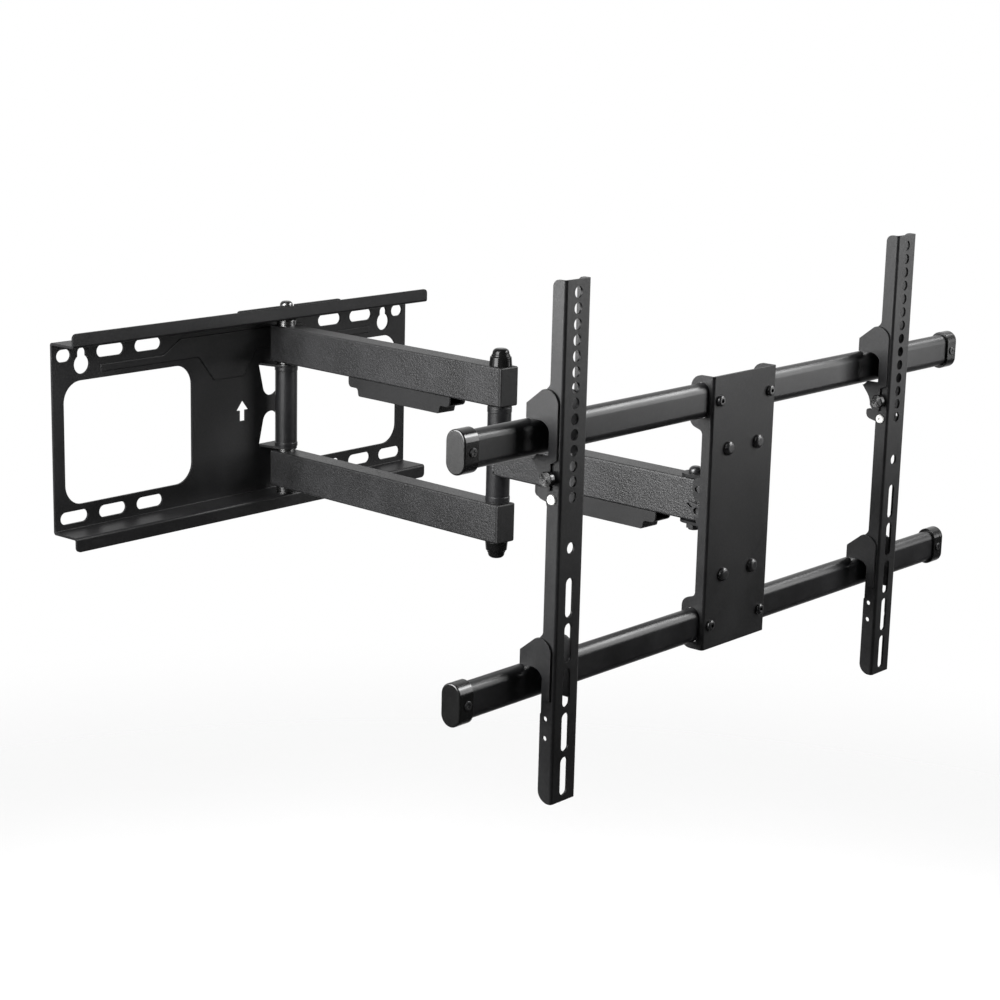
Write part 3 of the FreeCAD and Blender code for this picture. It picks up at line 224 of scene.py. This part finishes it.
def floor():
    """A round pale floor well below the mount, which fades out at its rim."""
    low, high = cad_box
    middle = (low + high) / 2
    middle.z = low.z - FLOOR_DROP
    mesh = disc("floor", middle, FLOOR_RADIUS, 12, 96)
    mesh.materials.append(floor_paint(middle))
    ground = bpy.data.objects.new("floor", mesh)
    SCENE.collection.objects.link(ground)
    ground.visible_glossy = False


def studio():
    """Five soft boxes, a dim sky and the floor."""
    SCENE.view_settings.view_transform = "Standard"
    studio_sky()
    floor()
    # one from above, and two on the faces that look left
    centre = (cad_box[0] + cad_box[1]) / 2
    softbox("key", (-1.6, -0.6, 2.4), centre, width=1.4, height=1.4, power=14)
    softbox("left_wall", (-1.25, -0.22, 0.56), LEFT_OF_ARM, width=0.9, height=1.2, power=62)
    softbox("left_back", (-1.4, 0.7, 0.1), BEFORE_PLATE, width=0.9, height=0.9, power=5)
    # one mirrored in the faces that look to the front, and one in the rounded upper edges of the rails
    head_top = HEAD + Vector((0, 0, 0.05))
    softbox("front_panel", (0.98, -1.47, 0.38), head_top, width=0.8, height=1.0, power=12)
    softbox("high_panel", (1.1, -1.3, 1.0), HEAD, width=1.3, height=0.4, power=24)


# ---------------------------------------------------------------- materials


def grey(level, blue=0.0):
    """A grey, and how much more blue it has."""
    return (level, level, level + blue)


def paint(name, dark, light, rough, grain, lumps, height, gloss=0.5, streak=(1, 1, 1)):
    """A coated or moulded surface: cloudy tone and roughness, a fine grain and low lumps."""
    made = bpy.data.materials.new(name)
    made.use_nodes = True
    tree = made.node_tree
    shader = tree.nodes["Principled BSDF"]
    shader.inputs["Specular IOR Level"].default_value = gloss
    coords = node(tree, "TexCoord")
    run = node(tree, "Mapping", Vector=coords.outputs["Object"], Scale=streak)
    cloudy = node(tree, "TexNoise", Vector=coords.outputs["Object"], Scale=14.0, Detail=5.0, Roughness=0.6)
    fine = node(tree, "TexNoise", Vector=run.outputs["Vector"], Scale=grain, Detail=2.0, Roughness=0.65)
    lumpy = node(tree, "TexNoise", Vector=run.outputs["Vector"], Scale=lumps, Detail=3.0, Roughness=0.55)
    relief = added(tree, fine.outputs["Fac"], lumpy.outputs["Fac"])
    speck = added(tree, relief, cloudy.outputs["Fac"])
    tone = node(tree, "MapRange", Value=speck, From_Min=1.15, From_Max=1.85)
    colour = node(tree, "Mix", {"data_type": "RGBA"})
    tree.links.new(tone.outputs["Result"], colour.inputs["Factor"])
    colour.inputs["A"].default_value = (*dark, 1)
    colour.inputs["B"].default_value = (*light, 1)
    sheen = node(tree, "MapRange", Value=cloudy.outputs["Fac"],
                 From_Min=0.3, From_Max=0.7, To_Min=rough[0], To_Max=rough[1])
    bump = node(tree, "Bump", Height=relief, Strength=1.0, Distance=height)
    tree.links.new(colour.outputs["Result"], shader.inputs["Base Color"])
    tree.links.new(sheen.outputs["Result"], shader.inputs["Roughness"])
    tree.links.new(bump.outputs["Normal"], shader.inputs["Normal"])
    return made


def drawn_metal(name, dark, light, rough, grain, height, streak):
    """Bare rolled steel: fine drawn lines in its tone, roughness and bump."""
    made = paint(name, dark, light, rough, grain, grain / 6, height, streak=streak)
    made.node_tree.nodes["Principled BSDF"].inputs["Metallic"].default_value = 1.0
    return made


def turned_metal(name, piece, spacing):
    """Lathe-turned metal: fine rings about the piece's own middle, round an axis along X."""
    low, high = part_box(piece.name)
    middle = (Vector(low) + Vector(high)) / 2
    made = paint(name, grey(0.03), grey(0.09), (0.22, 0.34), grain=2600, lumps=500, height=0.02 * MM)
    tree = made.node_tree
    shader = tree.nodes["Principled BSDF"]
    shader.inputs["Metallic"].default_value = 1.0
    # the ring texture repeats every tau / 20 of its scaled input
    rings = node(tree, "TexWave", {"wave_type": "RINGS", "rings_direction": "X"},
                 Vector=centred_on(tree, piece.matrix_world.inverted() @ middle),
                 Scale=math.tau / 20 / spacing, Distortion=0.4)
    ridges = node(tree, "Bump", Height=rings.outputs["Fac"], Strength=1.0, Distance=0.08 * MM)
    tree.links.new(ridges.outputs["Normal"], shader.inputs["Normal"])
    return made


def soft_edges(piece, width):
    """Merges flat facets and rounds the sharp edges a little, so that they catch the light."""
    weld = piece.modifiers.new("weld", "WELD")
    weld.merge_threshold = 0.01 * MM
    flat = piece.modifiers.new("flat", "DECIMATE")
    flat.decimate_type = "DISSOLVE"
    flat.angle_limit = math.radians(0.4)
    bevel = piece.modifiers.new("bevel", "BEVEL")
    bevel.width = width
    bevel.segments = 2
    bevel.limit_method = "ANGLE"
    bevel.angle_limit = math.radians(32)
    bevel.use_clamp_overlap = True
    piece.modifiers.new("normals", "WEIGHTED_NORMAL").weight = 80


def finishes():
    """Each material slot's finish and how wide its edges are rounded, and the finishes of single pieces."""
    black = grey(0.003, 0.0003)
    plate = paint("plate_coat", black, grey(0.01, 0.0005), (0.38, 0.5),
                  grain=1500, lumps=420, height=0.06 * MM, gloss=0.3)
    arm = paint("arm_coat", grey(0.003), grey(0.018, 0.001), (0.36, 0.48),
                grain=900, lumps=420, height=0.4 * MM, gloss=0.55)
    rail = paint("rail_paint", black, grey(0.011, 0.001), (0.3, 0.4),
                 grain=1800, lumps=200, height=0.02 * MM, gloss=0.4)
    bolt = paint("bolt_oxide", black, grey(0.02, 0.001), (0.25, 0.38),
                 grain=2600, lumps=700, height=0.02 * MM, gloss=0.6)
    gloss = paint("cap_gloss", grey(0.004), grey(0.007), (0.16, 0.24),
                  grain=2400, lumps=160, height=0.01 * MM, gloss=0.5)
    domed = paint("dome_gloss", grey(0.003), grey(0.006), (0.12, 0.18),
                  grain=2400, lumps=160, height=0.01 * MM, gloss=0.2)
    matt = paint("moulded_plastic", grey(0.004), grey(0.01, 0.0005), (0.45, 0.6),
                 grain=2200, lumps=600, height=0.03 * MM, gloss=0.35)
    nylon = paint("white_nylon", grey(0.66, -0.02), grey(0.78, -0.02), (0.35, 0.5),
                  grain=1800, lumps=500, height=0.02 * MM, gloss=0.4)
    zinc = drawn_metal("zinc", grey(0.1), grey(0.22), (0.2, 0.35),
                       grain=2500, height=0.02 * MM, streak=(1, 1, 6))
    by_slot = {
        "black_steel": (plate, 0.35 * MM),
        "rail_steel": (rail, 0.3 * MM),
        "black_fastener": (bolt, 0.25 * MM),
        "bright_steel": (zinc, 0.2 * MM),
        "cap_plastic": (gloss, 0.4 * MM),
        "plug_plastic": (matt, 0.3 * MM),
        "clip_plastic": (matt, 0.3 * MM),
        "bush_plastic": (matt, 0.2 * MM),
        "white_nylon": (nylon, 0.2 * MM),
    }
    by_piece = {
        "upper_arm_tube": arm,
        "lower_arm_tube": arm,
        "forearm_tube": arm,
        "elbow_caps": domed,
    }
    for name, piece in NODES.items():
        if name.endswith("lock_knob"):
            by_piece[name] = turned_metal(name + "_metal", piece, 0.5 * MM)
    return by_slot, by_piece


def finish_nodes():
    """Gives each CAD node its finish and its softened edges."""
    by_slot, by_piece = finishes()
    for part in frame["record"]["subparts"]:
        piece = NODES[part["node"]]
        coat, width = by_slot[part["material_slot"]]
        coat = by_piece.get(part["node"], coat)
        for place in range(len(piece.data.materials)):
            piece.data.materials[place] = coat
        if not piece.data.materials:
            piece.data.materials.append(coat)
        soft_edges(piece, width)


# ---------------------------------------------------------------- welds


def weld_size(share):
    """How thick the weld is at a share of its length: ripples that wander a little, and thin ends."""
    ripple = 0.28 * abs(math.sin(share * math.pi * WELD_RIPPLES))
    wander = 0.12 * math.sin(share * 37)
    taper = min(1.0, 9 * share + 0.15, 9 * (1 - share) + 0.15)
    return (1.25 + ripple + wander) * taper * MM


def weld_bead(name, centre_x, centre_y, base, top, coat):
    """An upright weld that rides on the forearm: oval rings of changing size, closed at both ends."""
    steps, turns = 64, 14
    points = []
    for step in range(steps + 1):
        share = step / steps
        size = weld_size(share)
        height = base + share * (top - base)
        for turn in range(turns):
            angle = math.tau * turn / turns
            across = 0.7 * size * math.cos(angle)
            along = 1.5 * size * math.sin(angle)
            points.append((centre_x + across, centre_y + along, height))
    faces = []
    for step in range(steps):
        lower = step * turns
        upper = lower + turns
        for turn in range(turns):
            after = (turn + 1) % turns
            faces.append((lower + turn, lower + after, upper + after, upper + turn))
    faces.append(tuple(reversed(range(turns))))
    faces.append(tuple(range(steps * turns, (steps + 1) * turns)))
    mesh = bpy.data.meshes.new("weld_bead")
    mesh.from_pydata(points, [], faces)
    mesh.shade_smooth()
    mesh.materials.append(coat)
    bead = bpy.data.objects.new(name, mesh)
    SCENE.collection.objects.link(bead)
    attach(bead, "forearm")


def weld_beads():
    """The weld down each side where the forearm meets the elbow tube: a row of overlapping ripples."""
    low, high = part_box("elbow_tube")
    tube_low, tube_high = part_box("forearm_tube")
    middle = (Vector(low) + Vector(high)) / 2
    radius = (high[0] - low[0]) / 2
    base = tube_low[2] + WELD_INSET
    top = tube_high[2] - WELD_INSET
    dull = paint("weld_coat", grey(0.01), grey(0.03, 0.001), (0.35, 0.5),
                 grain=1500, lumps=600, height=0.2 * MM, gloss=0.45)
    for name, side in (("weld_bead_left", -1), ("weld_bead_right", 1)):
        across = middle.x + side * (radius - WELD_SINK)
        weld_bead(name, across, middle.y - WELD_FORWARD, base, top, dull)


place_camera()
studio()
finish_nodes()
weld_beads()
